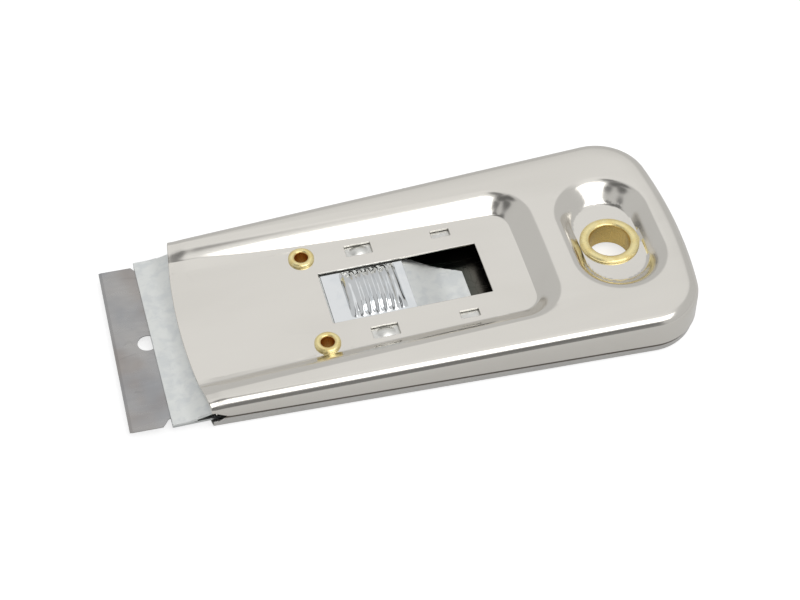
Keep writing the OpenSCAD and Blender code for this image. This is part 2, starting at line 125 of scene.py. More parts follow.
# Pressed sheet with rounded edges, grown from one face of it; facing is +1 where that face looks up
def sheetPiece(name, points, faces, thickness, edgeR, facing=1, sharpAngle=38):
    work = bmesh.new()
    verts = [work.verts.new(tuple(p)) for p in toRow(points)]
    for f in faces:
        if len(set(f)) > 2:
            work.faces.new([verts[i] for i in f])
    bmesh.ops.remove_doubles(work, verts=work.verts, dist=2e-7)
    loose = [v for v in work.verts if not v.link_faces]
    bmesh.ops.delete(work, geom=loose, context="VERTS")
    bmesh.ops.recalc_face_normals(work, faces=work.faces)
    if facing * sum(f.normal.z * f.calc_area() for f in work.faces) < 0:
        bmesh.ops.reverse_faces(work, faces=work.faces)
    work.normal_update()
    work.verts.ensure_lookup_table()
    work.verts.index_update()
    t, r = thickness / 1000, edgeR / 1000
    outer = [v.co.copy() for v in work.verts]
    normals = [v.normal.copy() for v in work.verts]
    skin = [[v.index for v in f.verts] for f in work.faces]
    rims = [(e.verts[0].index, e.verts[1].index, e.link_faces[0]) for e in work.edges if e.is_boundary]
    away = {}
    sides = []
    for a, b, face in rims:
        order = [v.index for v in face.verts]
        if order[(order.index(a) + 1) % len(order)] != b:
            a, b = b, a
        out = (outer[b] - outer[a]).normalized().cross(face.normal)
        sides.append((a, b))
        for i in (a, b):
            away[i] = away.get(i, Vector((0, 0, 0))) + out
    work.free()
    count = len(outer)
    total = outer + [p - n * t for p, n in zip(outer, normals)]
    faces = skin + [[i + count for i in reversed(f)] for f in skin]
    turns = [math.radians(a) for a in (30, 60, 90)]
    rings = {}
    for i, out in away.items():
        out = out.normalized()
        n, p = normals[i], outer[i]
        ring = [i]
        places = [(r * math.sin(a), r * (1 - math.cos(a))) for a in turns]
        places += [(x, t - z) for x, z in reversed(places)]
        for x, z in places:
            ring.append(len(total))
            total.append(p + out * x - n * z)
        rings[i] = ring + [i + count]
    for a, b in sides:
        for k in range(len(rings[a]) - 1):
            faces.append([rings[b][k], rings[a][k], rings[a][k + 1], rings[b][k + 1]])
    mesh = bpy.data.meshes.new(name)
    mesh.from_pydata(total, [], faces)
    piece = bpy.data.objects.new(name, mesh)
    bpy.context.scene.collection.objects.link(piece)
    tidyMesh(piece, sharpAngle)
    return piece


# Shader node groups shared by the metals
def newGroup(name, inputs, outputs):
    group = bpy.data.node_groups.new(name, "ShaderNodeTree")
    for label, kind, value in inputs:
        socket = group.interface.new_socket(name=label, in_out="INPUT", socket_type=kind)
        if value is not None:
            socket.default_value = value
    for label, kind in outputs:
        group.interface.new_socket(name=label, in_out="OUTPUT", socket_type=kind)
    start = group.nodes.new("NodeGroupInput")
    end = group.nodes.new("NodeGroupOutput")
    return group, start, end


def nodeOf(tree, kind, values=None, **settings):
    node = tree.nodes.new(kind)
    for key, value in settings.items():
        setattr(node, key, value)
    for key, value in (values or {}).items():
        node.inputs[key].default_value = value
    return node


def mathOf(tree, operation, *sources, kind="ShaderNodeMath", values=None):
    node = nodeOf(tree, kind, values, operation=operation)
    for socket, source in zip(node.inputs, sources):
        tree.links.new(source, socket)
    return node.outputs[0]


def remapped(tree, value, low, high):
    mask = nodeOf(tree, "ShaderNodeMapRange", {"From Min": low, "From Max": high},
                  interpolation_type="SMOOTHSTEP")
    tree.links.new(value, mask.inputs["Value"])
    return mask.outputs["Result"]


def mixedColor(tree, mask, color, tone):
    mix = nodeOf(tree, "ShaderNodeMix", data_type="RGBA")
    mix.inputs[7].default_value = (*tone, 1)
    tree.links.new(mask, mix.inputs[0])
    tree.links.new(color, mix.inputs[6])
    return mix.outputs[2]


def stretchedCoords(tree, start):
    coords = nodeOf(tree, "ShaderNodeTexCoord")
    return mathOf(tree, "MULTIPLY", coords.outputs["Object"], start.outputs["Stretch"],
                  kind="ShaderNodeVectorMath")


def grainGroup():
    group, start, end = newGroup(
        "metalGrain",
        [("Stretch", "NodeSocketVector", (1, 1, 1)), ("Scale", "NodeSocketFloat", 900.0),
         ("Low", "NodeSocketFloat", 0.1), ("High", "NodeSocketFloat", 0.2)],
        [("Grain", "NodeSocketFloat"), ("Roughness", "NodeSocketFloat")])
    coords = stretchedCoords(group, start)
    fine = nodeOf(group, "ShaderNodeTexNoise", {"Detail": 6.0, "Roughness": 0.6})
    group.links.new(coords, fine.inputs["Vector"])
    group.links.new(start.outputs["Scale"], fine.inputs["Scale"])
    spread = nodeOf(group, "ShaderNodeMapRange", {"From Min": 0.3, "From Max": 0.7})
    group.links.new(fine.outputs["Fac"], spread.inputs["Value"])
    group.links.new(start.outputs["Low"], spread.inputs["To Min"])
    group.links.new(start.outputs["High"], spread.inputs["To Max"])
    group.links.new(fine.outputs["Fac"], end.inputs["Grain"])
    group.links.new(spread.outputs["Result"], end.inputs["Roughness"])
    return group


def tintGroup():
    group, start, end = newGroup(
        "patchTint",
        [("Color", "NodeSocketColor", (0.8, 0.8, 0.8, 1)), ("Tint", "NodeSocketColor", (0.6, 0.6, 0.6, 1)),
         ("Size", "NodeSocketFloat", 120.0), ("Amount", "NodeSocketFloat", 0.3),
         ("Stretch", "NodeSocketVector", (1, 1, 1))],
        [("Color", "NodeSocketColor"), ("Mask", "NodeSocketFloat")])
    coords = stretchedCoords(group, start)
    cloud = nodeOf(group, "ShaderNodeTexNoise", {"Detail": 3.0, "Roughness": 0.55, "Distortion": 0.4})
    group.links.new(coords, cloud.inputs["Vector"])
    group.links.new(start.outputs["Size"], cloud.inputs["Scale"])
    mask = remapped(group, cloud.outputs["Fac"], 0.38, 0.66)
    amount = mathOf(group, "MULTIPLY", mask, start.outputs["Amount"])
    mix = nodeOf(group, "ShaderNodeMix", data_type="RGBA")
    group.links.new(amount, mix.inputs[0])
    group.links.new(start.outputs["Color"], mix.inputs[6])
    group.links.new(start.outputs["Tint"], mix.inputs[7])
    group.links.new(mix.outputs[2], end.inputs["Color"])
    group.links.new(amount, end.inputs["Mask"])
    return group


def scratchGroup():
    group, start, end = newGroup(
        "fineScratches",
        [("Stretch", "NodeSocketVector", (1, 1, 1)), ("Scale", "NodeSocketFloat", 400.0),
         ("Width", "NodeSocketFloat", 0.03)],
        [("Mask", "NodeSocketFloat")])
    coords = stretchedCoords(group, start)
    bend = nodeOf(group, "ShaderNodeTexNoise", {"Scale": 60.0, "Detail": 1.0})
    group.links.new(coords, bend.inputs["Vector"])
    sway = mathOf(group, "MULTIPLY", bend.outputs["Color"], kind="ShaderNodeVectorMath",
                  values={1: (0.004, 0.004, 0.004)})
    moved = mathOf(group, "ADD", coords, sway, kind="ShaderNodeVectorMath")
    cells = nodeOf(group, "ShaderNodeTexVoronoi", feature="DISTANCE_TO_EDGE")
    group.links.new(moved, cells.inputs["Vector"])
    group.links.new(start.outputs["Scale"], cells.inputs["Scale"])
    line = mathOf(group, "LESS_THAN", cells.outputs["Distance"], start.outputs["Width"])
    patches = nodeOf(group, "ShaderNodeTexNoise", {"Scale": 220.0, "Detail": 2.0})
    group.links.new(coords, patches.inputs["Vector"])
    seen = mathOf(group, "GREATER_THAN", patches.outputs["Fac"], values={1: 0.58})
    group.links.new(mathOf(group, "MULTIPLY", line, seen), end.inputs["Mask"])
    return group


grain, tint, scratches = grainGroup(), tintGroup(), scratchGroup()


def metal(name, s):
    material = bpy.data.materials.new(name)
    material.use_nodes = True
    tree = material.node_tree
    tree.nodes.clear()
    out = nodeOf(tree, "ShaderNodeOutputMaterial")
    shader = nodeOf(tree, "ShaderNodeBsdfPrincipled", {"Metallic": 1.0})
    tree.links.new(shader.outputs[0], out.inputs[0])
    grainNode = nodeOf(tree, "ShaderNodeGroup",
                       {"Stretch": s.get("stretch", (1, 1, 1)), "Scale": s["grainScale"],
                        "Low": s["roughness"][0], "High": s["roughness"][1]}, node_tree=grain)
    tintNode = nodeOf(tree, "ShaderNodeGroup",
                      {"Color": (*s["color"], 1), "Tint": (*s["tint"], 1), "Size": s["tintSize"],
                       "Amount": s["tintAmount"], "Stretch": s.get("tintStretch", (1, 1, 1))}, node_tree=tint)
    scratchNode = nodeOf(tree, "ShaderNodeGroup",
                         {"Stretch": s.get("scratchStretch", (1, 1, 1)),
                          "Scale": s.get("scratchScale", 180.0), "Width": s.get("scratchWidth", 0.02)},
                         node_tree=scratches)
    worn = nodeOf(tree, "ShaderNodeMath", {1: s.get("scratchRough", 0.12), 2: 0.0}, operation="MULTIPLY_ADD")
    tree.links.new(scratchNode.outputs["Mask"], worn.inputs[0])
    tree.links.new(grainNode.outputs["Roughness"], worn.inputs[2])
    tree.links.new(worn.outputs[0], shader.inputs["Roughness"])
    bump = nodeOf(tree, "ShaderNodeBump", {"Strength": s["bump"], "Distance": s.get("bumpDepth", 2e-5)})
    tree.links.new(grainNode.outputs["Grain"], bump.inputs["Height"])
    tree.links.new(bump.outputs[0], shader.inputs["Normal"])
    color = tintNode.outputs["Color"]
    if "inner" in s:
        color = paintedBoreShade(tree, color, s["inner"])
    if "bands" in s:
        color = temperBands(tree, color, s["bands"])
    # Painted shade on the tray's inside face, and a painted shadow line along the seam
    if "inside" in s:
        color = paintedTrayShade(tree, color, s["inside"])
    tree.links.new(color, shader.inputs["Base Color"])
    return material


# Painted shade inside an eyelet: colour that darkens with nearness to a vertical line through the bore
def paintedBoreShade(tree, color, s):
    coords = nodeOf(tree, "ShaderNodeTexCoord")
    centre = mathOf(tree, "SUBTRACT", coords.outputs["Object"], kind="ShaderNodeVectorMath",
                    values={1: s["centre"]})
    flat = mathOf(tree, "MULTIPLY", centre, kind="ShaderNodeVectorMath", values={1: (1, 1, 0)})
    size = nodeOf(tree, "ShaderNodeVectorMath", operation="LENGTH")
    tree.links.new(flat, size.inputs[0])
    mask = nodeOf(tree, "ShaderNodeMapRange",
                  {"From Min": s["radius"][0], "From Max": s["radius"][1], "To Min": 1.0, "To Max": 0.0},
                  interpolation_type="SMOOTHSTEP")
    tree.links.new(size.outputs["Value"], mask.inputs["Value"])
    return mixedColor(tree, mask.outputs["Result"], color, s["color"])


# Painted shade: dark colour on the tray's inside face where the housing shades it, and a painted shadow line,
# with some grime, where its wall goes up inside the skirt
def paintedTrayShade(tree, color, s):
    coords = nodeOf(tree, "ShaderNodeTexCoord")
    height = nodeOf(tree, "ShaderNodeVectorMath", {1: s["up"]}, operation="DOT_PRODUCT")
    tree.links.new(coords.outputs["Object"], height.inputs[0])
    # Painted shade: the tray above a set height and within the middle width goes dark
    inner = remapped(tree, height.outputs["Value"], s["level"] - s["blur"], s["level"] + s["blur"])
    split = nodeOf(tree, "ShaderNodeSeparateXYZ")
    tree.links.new(coords.outputs["Object"], split.inputs[0])
    across = mathOf(tree, "ABSOLUTE", split.outputs["Y"])
    middle = remapped(tree, across, s["half"] + s["halfBlur"], s["half"])
    color = mixedColor(tree, mathOf(tree, "MULTIPLY", inner, middle), color, s["color"])
    # Painted shadow, with some grime: a thin dark band just under the skirt's lower edge
    line = nodeOf(tree, "ShaderNodeVectorMath", {1: s["seamUp"]}, operation="DOT_PRODUCT")
    tree.links.new(coords.outputs["Object"], line.inputs[0])
    low, high = (s["seam"] - depth for depth in s["seamShadowBand"])
    return mixedColor(tree, remapped(tree, line.outputs["Value"], low, high), color, s["seamShadowColor"])


# Brown and blue tempering tints that drift across a blade
def temperBands(tree, color, s):
    for tone, seed, share in s:
        coords = nodeOf(tree, "ShaderNodeTexCoord")
        shifted = mathOf(tree, "ADD", coords.outputs["Object"], kind="ShaderNodeVectorMath",
                         values={1: (seed, seed * 0.7, 0)})
        cloud = nodeOf(tree, "ShaderNodeTexNoise", {"Scale": 90.0, "Detail": 2.5, "Roughness": 0.5})
        tree.links.new(shifted, cloud.inputs["Vector"])
        mask = nodeOf(tree, "ShaderNodeMapRange", {"From Min": 0.48, "From Max": 0.68, "To Max": share},
                      interpolation_type="SMOOTHSTEP")
        tree.links.new(cloud.outputs["Fac"], mask.inputs["Value"])
        color = mixedColor(tree, mask.outputs["Result"], color, tone)
    return color


finishes = {
    "shellSteel": {"color": (0.8, 0.775, 0.725), "tint": (0.74, 0.715, 0.665), "tintSize": 45.0,
                   "tintAmount": 0.5,
                   "tintStretch": (0.4, 1, 1), "grainScale": 900.0, "stretch": (0.06, 1, 1),
                   "roughness": (0.13, 0.19), "bump": 0.12, "bumpDepth": 6e-6, "scratchScale": 150.0,
                   "scratchStretch": (0.25, 1, 1), "scratchWidth": 0.006, "scratchRough": 0.06},
    "baseSteel": {"color": (0.68, 0.67, 0.645), "tint": (0.6, 0.59, 0.575), "tintSize": 60.0,
                  "tintAmount": 0.5,
                  "grainScale": 1100.0, "stretch": (0.08, 1, 1), "roughness": (0.2, 0.3), "bump": 0.2,
                  "bumpDepth": 8e-6, "scratchWidth": 0.012,
                  # inside: painted shade on the tray's inside face, and a painted shadow line under the
                  # skirt's edge
                  "inside": {"up": (-0.01309, 0, 0.99991), "level": 0.00165, "blur": 0.00005,
                             "half": 0.0175, "halfBlur": 0.001,
                             "color": (0.055, 0.075, 0.066), "seamUp": (0.0061, 0, 1.0), "seam": 0.00304,
                             # painted seam shadow: the band under the seam and its colour
                             "seamShadowBand": (0.00102, 0.00082),
                             "seamShadowColor": (0.16, 0.14, 0.12)}},
    "plateZinc": {"color": (0.88, 0.9, 0.88), "tint": (0.73, 0.76, 0.77), "tintSize": 420.0,
                  "tintAmount": 0.6,
                  "grainScale": 1500.0, "roughness": (0.3, 0.44), "bump": 0.35, "bumpDepth": 2e-5,
                  "scratchWidth": 0.015, "scratchScale": 260.0},
    "carrierZinc": {"color": (0.66, 0.68, 0.67), "tint": (0.55, 0.58, 0.6), "tintSize": 380.0,
                    "tintAmount": 0.6,
                    "grainScale": 1400.0, "roughness": (0.32, 0.46), "bump": 0.35, "bumpDepth": 2e-5},
    "rivetZinc": {"color": (0.7, 0.71, 0.7), "tint": (0.58, 0.6, 0.62), "tintSize": 500.0, "tintAmount": 0.5,
                  "grainScale": 1800.0, "roughness": (0.25, 0.38), "bump": 0.25},
    "gripChrome": {"color": (0.84, 0.86, 0.87), "tint": (0.72, 0.76, 0.79), "tintSize": 300.0,
                   "tintAmount": 0.4,
                   "grainScale": 1600.0, "stretch": (1, 0.2, 1), "roughness": (0.09, 0.17), "bump": 0.15,
                   "bumpDepth": 8e-6, "scratchWidth": 0.01, "scratchScale": 300.0},
    "springSteel": {"color": (0.86, 0.86, 0.83), "tint": (0.7, 0.69, 0.65), "tintSize": 260.0,
                    "tintAmount": 0.5,
                    "grainScale": 1300.0, "stretch": (0.1, 1, 1), "roughness": (0.36, 0.5), "bump": 0.2,
                    "bumpDepth": 8e-6},
    "bladeSteel": {"color": (0.49, 0.48, 0.47), "tint": (0.38, 0.385, 0.4), "tintSize": 80.0,
                   "tintAmount": 0.6,
                   "grainScale": 1400.0, "stretch": (0.15, 1, 1), "roughness": (0.24, 0.36), "bump": 0.25,
                   "bumpDepth": 8e-6,
                   "bands": [((0.36, 0.3, 0.26), 0.031, 0.4), ((0.32, 0.35, 0.39), 0.087, 0.3)]},
}
brass = {"color": (1.0, 0.87, 0.46), "tint": (0.9, 0.7, 0.28), "tintSize": 500.0, "tintAmount": 0.6,
         "grainScale": 2600.0, "roughness": (0.22, 0.4), "bump": 0.5, "bumpDepth": 2.5e-5,
         "scratchScale": 500.0, "scratchWidth": 0.02}
materials = {name: metal(name, s) for name, s in finishes.items()}
print("materials built")


def dress(piece, finish, node, body):
    piece.data.materials.clear()
    piece.data.materials.append(materials[finish])
    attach(piece, body)
    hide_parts(node)


# Outline paths of the shells
shell = {"frontX": 12.7, "length": 98.3, "frontWidth": 42.9, "rearWidth": 49.6, "cornerR": 10.5,
         "rearR": 100.0,
         "frontR": 119.0, "sheet": 0.4, "panelZ": 4.8, "rimFront": 6.5, "rimRear": 8.25, "rollR": 2.0,
         "panelHalf": (13.6, 12.4), "panelEnd": 80.0, "panelR": 3.6, "slopeRun": 4.7, "seamFront": 3.3,
         "seamRear": 2.7, "lipHeight": 0.4, "lipDrop": 0.3, "lipStart": 13.0, "lipRun": 3.0,
         "stepRun": 3.4, "notchRun": 3.4, "notchStart": 2, "notchRise": 1.3, "footRound": 0.07,
         "topSoft": 1.55,
         "farFan": (2.3, 0.75), "nearFan": (1.0, 0.35), "fanFade": (19.0, 19.5), "fanRun": 6.0,
         "sideBlend": 4,
         "crown": (0.25, 5.0), "panelRear": 400.0, "sideEase": 1.4}
rearX = shell["frontX"] + shell["length"]


def frontEdge(y, setBack=0.0):
    r = shell["frontR"] - setBack
    return shell["frontX"] + shell["frontR"] - np.sqrt(r * r - np.asarray(y, float) ** 2)


def uPath(half0, slope, corner, rear, end, setBack=0.0):
    k = math.hypot(1, slope)
    arcX = end - rear
    a = half0 - corner * k
    m = arcX - a * slope
    q = rear - corner
    cx = (m + math.sqrt(m * m - k * k * (arcX * arcX + a * a - q * q))) / (k * k)
    cy = a + slope * cx
    return {"half0": half0, "slope": slope, "corner": corner, "rear": rear, "k": k, "arcX": arcX,
            "cx": cx, "cy": cy, "turn": math.atan2(cy, cx - arcX), "setBack": setBack}


def pathPoints(u, d, steps):
    sideSteps, cornerSteps, rearSteps = steps
    slope = u["slope"]
    endX = u["cx"] - (u["corner"] - d) * math.sin(math.atan(slope))
    x = shell["frontX"]
    for _ in range(6):
        x = float(frontEdge(u["half0"] + slope * x - d * u["k"], u["setBack"]))
    f = np.linspace(0, 1, sideSteps + 1)[:-1] ** shell["sideEase"]
    xs = x + f * (endX - x)
    side = np.column_stack([xs, u["half0"] + slope * xs - d * u["k"]])
    a = np.linspace(math.pi / 2 + math.atan(slope), u["turn"], cornerSteps + 1)[:-1]
    r = u["corner"] - d
    corner = np.column_stack([u["cx"] + r * np.cos(a), u["cy"] + r * np.sin(a)])
    b = np.linspace(u["turn"], 0, rearSteps + 1)
    r = u["rear"] - d
    rear = np.column_stack([u["arcX"] + r * np.cos(b), r * np.sin(b)])
    half = np.vstack([side, corner, rear])
    return np.vstack([half, half[-2::-1] * [1, -1]])


def outside(u, x, y):
    ay = np.abs(y)
    side = (ay - u["half0"] - u["slope"] * x) / u["k"]
    rear = np.hypot(x - u["arcX"], ay) - u["rear"]
    corner = np.hypot(x - u["cx"], ay - u["cy"]) - u["corner"]
    along = (x - u["cx"]) + (ay - u["cy"]) * u["slope"]
    across = (ay - u["cy"]) * math.cos(u["turn"]) - (x - u["cx"]) * math.sin(u["turn"])
    return np.where((along > 0) & (across > 0), corner, np.maximum(side, rear))


sideSlope = (shell["rearWidth"] - shell["frontWidth"]) / 2 / shell["length"]
sideStart = shell["frontWidth"] / 2 - sideSlope * shell["frontX"]
outline = uPath(sideStart, sideSlope, shell["cornerR"], shell["rearR"], rearX)
panelSlope = (shell["panelHalf"][1] - shell["panelHalf"][0]) / (shell["panelEnd"] - shell["frontX"])
panelEdge = uPath(shell["panelHalf"][0] - panelSlope * shell["frontX"], panelSlope, shell["panelR"],
                  shell["panelRear"], shell["panelEnd"])


def groundLine(x):
    return -(place["lift"] + x * math.sin(place["lean"])) / math.cos(place["lean"])


def rimLine(x):
    rise, start = shell["rimRear"] - shell["rimFront"], shell["stepRun"]
    return shell["rimFront"] + rise * (x - shell["frontX"] - start) / (shell["length"] - start)


def rim(x, y):
    low = shell["panelZ"] + shell["lipHeight"]
    sides = smooth((np.abs(y) - shell["lipStart"]) / shell["lipRun"])
    low = low + (shell["rimFront"] - shell["lipDrop"] - low) * sides
    height, run = shell["crown"]
    fall = height * np.clip(1 + outside(outline, x, y) / run, 0, 1) ** 2
    return low + (rimLine(x) - fall - low) * smooth((x - frontEdge(y)) / shell["stepRun"])


def seam(x):
    f = (x - shell["frontX"]) / shell["length"]
    closed = smooth((x - shell["frontX"] - shell["notchStart"]) / shell["notchRun"])
    raised = shell["notchRise"] * (1 - closed)
    return groundLine(x) + shell["seamFront"] + (shell["seamRear"] - shell["seamFront"]) * f + raised


def slopeShare(t):
    t = np.clip(t, 0, 1)
    e = shell["footRound"]
    u = (np.sqrt(t * t + e * e) - e) / (math.sqrt(1 + e * e) - e)
    return 1 - (1 - u) ** shell["topSoft"]


dimple = {"x": 97.5, "floorR": 5.9, "mouthR": 9.3, "floorDy": 4.1, "mouthDy": 5.5}


def dimpleShare(x, y):
    t = np.zeros_like(x)
    dx, ay = x - dimple["x"], np.abs(y)
    for _ in range(14):
        dy = dimple["floorDy"] + (dimple["mouthDy"] - dimple["floorDy"]) * t
        reach = np.hypot(dx, np.maximum(ay - dy, 0))
        t = np.clip((reach - dimple["floorR"]) / (dimple["mouthR"] - dimple["floorR"]), 0, 1.5)
    return t


# Slope from the panel to the rim, whose steep part moves outwards towards the front edge
def panelShare(x, y):
    d, run = outside(panelEdge, x, y), shell["slopeRun"]
    start, fade = shell["fanFade"]
    fan = np.exp(-np.maximum(x - start, 0) / fade)
    side = smooth(y / shell["sideBlend"] + 0.5)
    reach, part = (fan * (near + (far - near) * side) for near, far in zip(shell["nearFan"], shell["farFan"]))
    steep = slopeShare((d - reach) / (run - reach))
    return steep + (np.clip(d / shell["fanRun"], 0, 1) - steep) * part


def topHeight(x, y):
    share = np.minimum(panelShare(x, y), slopeShare(dimpleShare(x, y)))
    return shell["panelZ"] + (rim(x, y) - shell["panelZ"]) * share


def gridFaces(rows, columns, start=0):
    return [(start + k * columns + i, start + k * columns + i + 1,
             start + (k + 1) * columns + i + 1, start + (k + 1) * columns + i)
            for k in range(rows - 1) for i in range(columns - 1)]


# Closed loop of a window with rounded corners
def windowLoop(x0, x1, y0, y1, r, steps=4):
    points = []
    centres = ((x1 - r, y1 - r, 0), (x0 + r, y1 - r, 90), (x0 + r, y0 + r, 180), (x1 - r, y0 + r, 270))
    for cx, cy, start in centres:
        for i in range(steps + 1):
            a = math.radians(start + 90 * i / steps)
            points.append((cx + r * math.cos(a), cy + r * math.sin(a)))
    return points


def circleLoop(x, y, r, steps=48):
    turn = [2 * math.pi * i / steps for i in range(steps)]
    return [(x + r * math.cos(a), y + r * math.sin(a)) for a in turn]


# Flat sheet with holes, as triangles between an outer loop and its hole loops
def flatFaces(loops, start=0):
    points, edges = [], []
    for loop in loops:
        first = len(points)
        points += [Vector(p) for p in loop]
        edges += [(first + i, first + (i + 1) % len(loop)) for i in range(len(loop))]
    verts, _, faces, _, _, _ = delaunay_2d_cdt(points, edges, [], 0, 1e-6)
    kept = []
    for f in faces:
        c = sum((verts[i] for i in f), Vector((0, 0))) / len(f)
        if sum(inLoop(c, loop) for loop in loops) == 1:
            kept.append(tuple(start + i for i in f))
    return [tuple(v) for v in verts], kept


def inLoop(p, loop):
    inside = False
    for (ax, ay), (bx, by) in zip(loop, loop[1:] + loop[:1]):
        if (ay > p[1]) != (by > p[1]) and p[0] < (bx - ax) * (p[1] - ay) / (by - ay) + ax:
            inside = not inside
    return inside


windows = {"thumb": (40.9, 72.1, 6.375), "frontDetent": (5.15, 2.8), "rearDetent": (3.7, 1.85),
           "detentX": 49.95,
           "detentY": 10.6, "travel": 16.4, "cornerR": 0.25, "eyelet": (38.7, 10.92, 1.65)}


def panelHoles():
    x0, x1, half = windows["thumb"]
    r = topDetail["edgeR"]
    loops = [windowLoop(x0 - r, x1 + r, -half - r, half + r, windows["cornerR"])]
    for side in (-1, 1):
        y = side * windows["detentY"]
        for x, (length, width) in ((windows["detentX"], windows["frontDetent"]),
                                   (windows["detentX"] + windows["travel"], windows["rearDetent"])):
            a, b = length / 2 + r, width / 2 + r
            loops.append(windowLoop(x - a, x + a, y - b, y + b, windows["cornerR"]))
        loops.append(circleLoop(windows["eyelet"][0], side * windows["eyelet"][1], windows["eyelet"][2] + r))
    return loops


topDetail = {"steps": (84, 22, 26), "skirtRows": 7, "rollRows": 10, "slopeRows": 76, "holeR": 4.9,
             "edgeR": 0.1,
             "rollGap": 0.1, "frontSteps": 25}


def buildTop():
    steps = topDetail["steps"]
    border = pathPoints(outline, 0, steps)
    rows = []
    lower = seam(border[:, 0]) + topDetail["edgeR"]
    crest = rim(border[:, 0], border[:, 1])
    rollH = np.minimum(shell["rollR"], crest - lower - topDetail["rollGap"])
    for f in np.linspace(0, 1, topDetail["skirtRows"])[:-1]:
        rows.append(np.column_stack([border, lower * (1 - f) + (crest - rollH) * f]))
    for a in np.linspace(0, math.pi / 2, topDetail["rollRows"]):
        p = pathPoints(outline, shell["rollR"] * (1 - math.cos(a)), steps)
        crest = rim(p[:, 0], p[:, 1])
        high = np.minimum(shell["rollR"], crest - seam(p[:, 0]) - topDetail["rollGap"])
        rows.append(np.column_stack([p, crest - high * (1 - math.sin(a))]))
    outer, inner = rows[-1][:, :2], pathPoints(panelEdge, 0, steps)
    for f in np.linspace(0, 1, topDetail["slopeRows"])[1:]:
        p = outer * (1 - f) + inner * f
        rows.append(np.column_stack([p, topHeight(p[:, 0], p[:, 1])]))
    columns = len(border)
    points = np.vstack(rows)
    faces = gridFaces(len(rows), columns)
    centre = np.array([points[list(f)].mean(0)[:2] for f in faces])
    keep = np.hypot(centre[:, 0] - dimple["x"], centre[:, 1]) > topDetail["holeR"]
    faces = [f for f, k in zip(faces, keep) if k]
    ys = np.linspace(-inner[0, 1], inner[0, 1], topDetail["frontSteps"])[1:-1]
    boundary = [tuple(p) for p in inner] + [(float(frontEdge(y)), y) for y in ys]
    flat, flatF = flatFaces([boundary] + panelHoles(), len(points))
    flat = [(x, y, shell["panelZ"]) for x, y in flat]
    points = np.vstack([points, flat])
    return sheetPiece("topShell", points, faces + flatF, shell["sheet"], topDetail["edgeR"])


topShell = buildTop()
dress(topShell, "shellSteel", "top_shell", "housing")
print("top shell", len(topShell.data.polygons))

base = {"bedZ": 1.05, "radius": 1.0, "footW": 4.6, "bedRun": 2.4, "wallGap": 0.43, "wallOver": 1.1,
        "lowWall": 1.35,
        "setBack": 0.3, "steps": (70, 18, 20), "rows": (6, 7, 14), "eyeletR": 1.65, "hangR": 4.45,
        "hangSteps": 72, "edgeR": 0.1, "wallStart": 3, "wallRun": 4, "frontSteps": 25}


def buildBase():
    u = uPath(sideStart, sideSlope, shell["cornerR"], shell["rearR"], rearX, base["setBack"])
    gap, steps = base["wallGap"], base["steps"]
    wallRows, bendRows, bedRows = base["rows"]
    rows = []
    p = pathPoints(u, gap, steps)
    ground = groundLine(p[:, 0])
    wall = base["lowWall"] + (seam(p[:, 0]) + base["wallOver"] - base["lowWall"]) * smooth(
        (p[:, 0] - shell["frontX"] - base["wallStart"]) / base["wallRun"])
    for f in np.linspace(0, 1, wallRows)[:-1]:
        rows.append(np.column_stack([p, wall * (1 - f) + (ground + base["radius"]) * f]))
    for a in np.linspace(0, math.pi / 2, bendRows):
        p = pathPoints(u, gap + base["radius"] * (1 - math.cos(a)), steps)
        rows.append(np.column_stack([p, groundLine(p[:, 0]) + base["radius"] * (1 - math.sin(a))]))
    for f in np.linspace(0, 1, bedRows):
        p = pathPoints(u, base["footW"] + base["bedRun"] * f, steps)
        low, s = groundLine(p[:, 0]), smooth(f)
        rows.append(np.column_stack([p, low * (1 - s) + (base["bedZ"] - shell["sheet"]) * s]))
    points = np.vstack(rows)
    inner = rows[-1][:, :2]
    ys = np.linspace(-inner[0, 1], inner[0, 1], base["frontSteps"])[1:-1]
    boundary = [tuple(q) for q in inner] + [(float(frontEdge(y, base["setBack"])), y) for y in ys]
    holes = [circleLoop(windows["eyelet"][0], s * windows["eyelet"][1], base["eyeletR"]) for s in (-1, 1)]
    holes.append(circleLoop(dimple["x"], 0, base["hangR"], base["hangSteps"]))
    flat, flatF = flatFaces([boundary] + holes, len(points))
    flat = [(x, y, base["bedZ"] - shell["sheet"]) for x, y in flat]
    faces = gridFaces(len(rows), len(p)) + flatF
    return sheetPiece("bottomShell", np.vstack([points, flat]), faces, shell["sheet"], base["edgeR"], -1)


bottomShell = buildBase()
dress(bottomShell, "baseSteel", "bottom_shell", "housing")
print("bottom shell", len(bottomShell.data.polygons))


# Brass eyelets, turned from a profile of radius and height
eyelets = {"bigR": 3.95, "bigWall": 0.45, "bigFlange": 5.8, "smallR": 1.25, "smallWall": 0.35,
           "smallFlange": 2.5,
           "flangeH": 0.7, "curlH": 0.65, "dent": 0.012, "rollBase": 0.16, "rollRound": 0.75,
           "lowShare": 0.92,
           # painted shade colours for the inside of the small and big bores
           "turns": 96, "smallBoreShade": (0.75, 0.42, 0.12), "bigBoreShade": (0.86, 0.66, 0.26)}


def eyeletProfile(boreR, wall, flangeR):
    seat = shell["panelZ"]
    low = base["bedZ"] - shell["sheet"]
    lowR = flangeR * eyelets["lowShare"]
    reach, curl = flangeR - boreR, lowR - boreR
    rise = eyelets["flangeH"] - eyelets["rollBase"]
    roll, under = [], []
    for i in range(19):
        a = math.pi * i / 18
        bulge = math.sin(a) ** eyelets["rollRound"]
        roll.append((boreR + reach / 2 * (1 - math.cos(a)), seat + eyelets["rollBase"] + rise * bulge))
        under.append((boreR + curl / 2 * (1 + math.cos(a)), low - eyelets["curlH"] * bulge))
    bore = [(boreR, low + (seat - low) * f) for f in (0.1, 0.35, 0.65, 0.9)]
    tube = [(boreR + wall, seat), (boreR + wall, low)]
    edge = [(flangeR, seat + 0.1), (flangeR - 0.08, seat + 0.01)]
    lower = [(lowR - 0.05, low)]
    return bore + roll + edge + tube + lower + under


